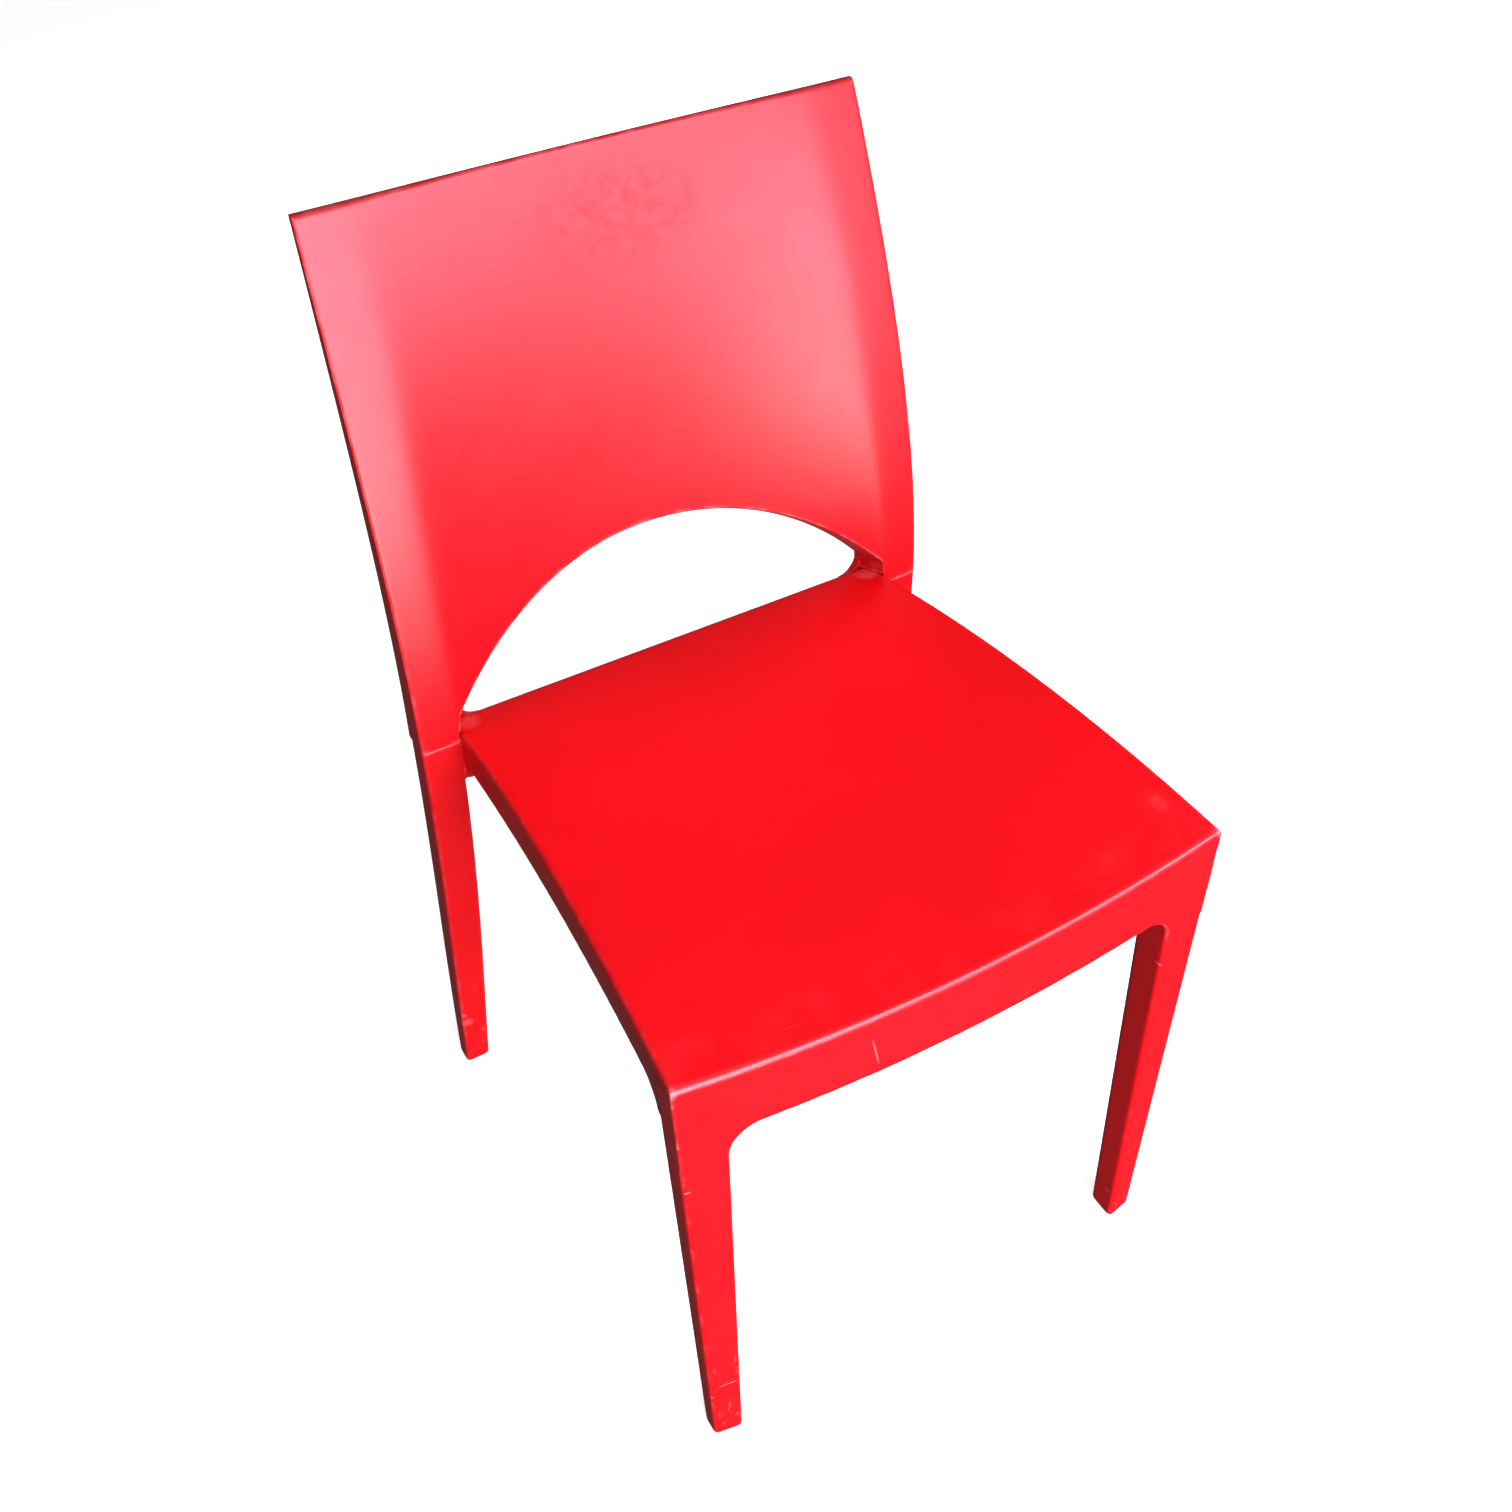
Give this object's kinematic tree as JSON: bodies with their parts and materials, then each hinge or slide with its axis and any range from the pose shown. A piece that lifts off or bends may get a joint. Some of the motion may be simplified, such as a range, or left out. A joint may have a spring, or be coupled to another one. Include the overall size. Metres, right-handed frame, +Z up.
{
  "type": "side chair",
  "caption": "Red moulded plastic stacking side chair with a curved back panel, an arched opening above the seat, a dished seat and tapered splayed legs.",
  "frame": {"origin": "middle of the chair's bounding box, on the floor", "axes": "+Z up; the sitter faces -Y, so the seat's front edge is at -Y and the back at +Y; +X is on the right of someone who looks at the chair's front, and the chair is symmetric about the YZ plane"},
  "size_m": [0.462, 0.5101, 0.829],
  "materials": {
    "seat_plastic": "satin, finely textured",
    "back_plastic": "satin, finely textured",
    "screw_steel": "zinc plated",
    "insert_brass": "turned",
    "glide_plastic": "moulded, dull"
  },
  "bodies": {
    "root": {"seat_frame": "seat_plastic", "back_panel": "back_plastic", "lock_screw_left": "screw_steel", "lock_screw_right": "screw_steel", "lock_insert_left": "insert_brass", "lock_insert_right": "insert_brass", "foot_glide_front_left": "glide_plastic", "foot_glide_front_right": "glide_plastic", "foot_glide_rear_left": "glide_plastic", "foot_glide_rear_right": "glide_plastic"}
  },
  "joints": []
}
